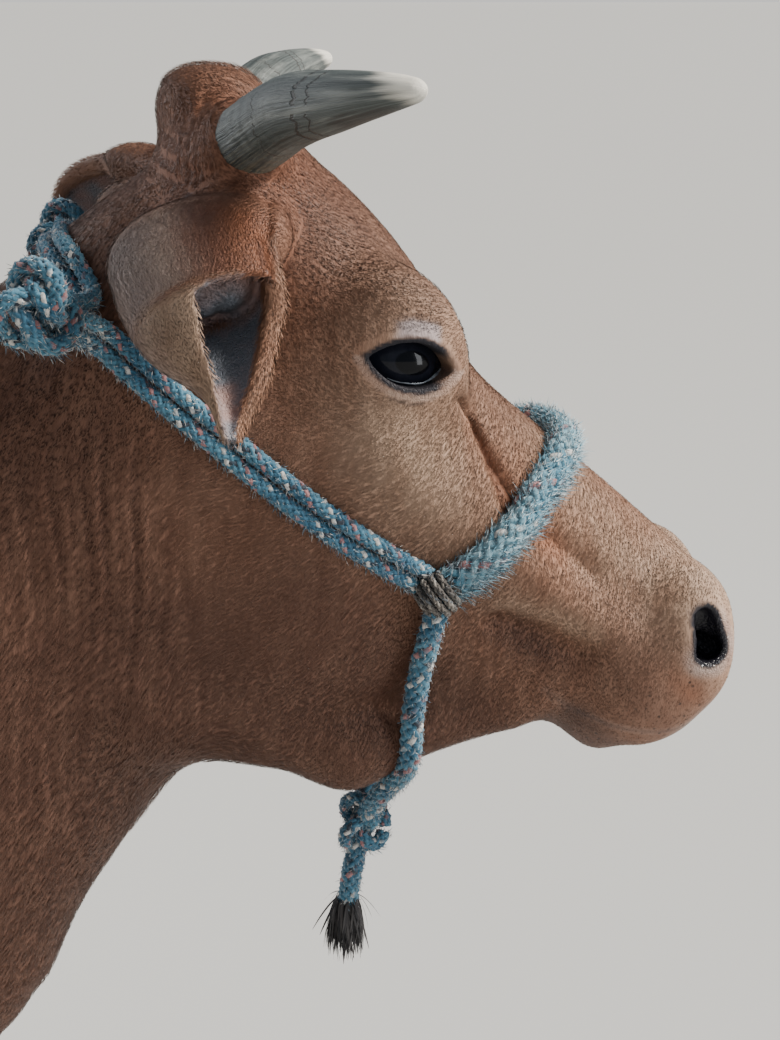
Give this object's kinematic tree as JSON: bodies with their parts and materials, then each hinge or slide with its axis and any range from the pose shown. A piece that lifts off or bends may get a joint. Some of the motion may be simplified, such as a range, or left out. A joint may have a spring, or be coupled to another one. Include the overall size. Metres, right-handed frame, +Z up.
{
  "type": "standing horned jersey-cross dairy cow in a rope halter",
  "caption": "Life-size standing red-brown dairy cow with short outward horns, drooping ears, udder, long tail and a rope halter without its lead.",
  "frame": {"origin": "on the floor, under the centre of the bounding box", "axes": "+X towards the muzzle, +Y to the cow's left, +Z up"},
  "size_m": [2.2006, 0.5697, 1.4005],
  "materials": {
    "coat": "short red-brown hair",
    "face": "short red-brown hair, paler round the eyes and muzzle",
    "ear": "short hair outside, bare grey-pink skin inside",
    "udder": "fine pale hair over pink-brown skin",
    "eye": "wet and glossy",
    "horn": "grey-green, ringed and worn, cream at the tip",
    "hoof": "dark, worn",
    "switch": "long coarse hair",
    "rope": "fuzzy blue cord with white, pink and dark flecks"
  },
  "bodies": {
    "root": {"cheek_knot_left": "rope", "cheek_knot_right": "rope", "cheek_rope_left": "rope", "cheek_rope_right": "rope", "chin_knot": "rope", "chin_rope_left": "rope", "chin_rope_right": "rope", "crown_rope": "rope", "ear_left": "ear", "ear_right": "ear", "eye_left": "eye", "eye_right": "eye", "foreleg_left": "coat", "foreleg_right": "coat", "head": "face", "hindleg_left": "coat", "hindleg_right": "coat", "hoof_fore_left": "hoof", "hoof_fore_right": "hoof", "hoof_hind_left": "hoof", "hoof_hind_right": "hoof", "horn_left": "horn", "horn_right": "horn", "neck": "coat", "neck_knot_left": "rope", "neck_knot_right": "rope", "nose_band": "rope", "rope_end": "rope", "tail": "coat", "tail_switch": "switch", "torso": "coat", "udder": "udder"}
  },
  "joints": []
}
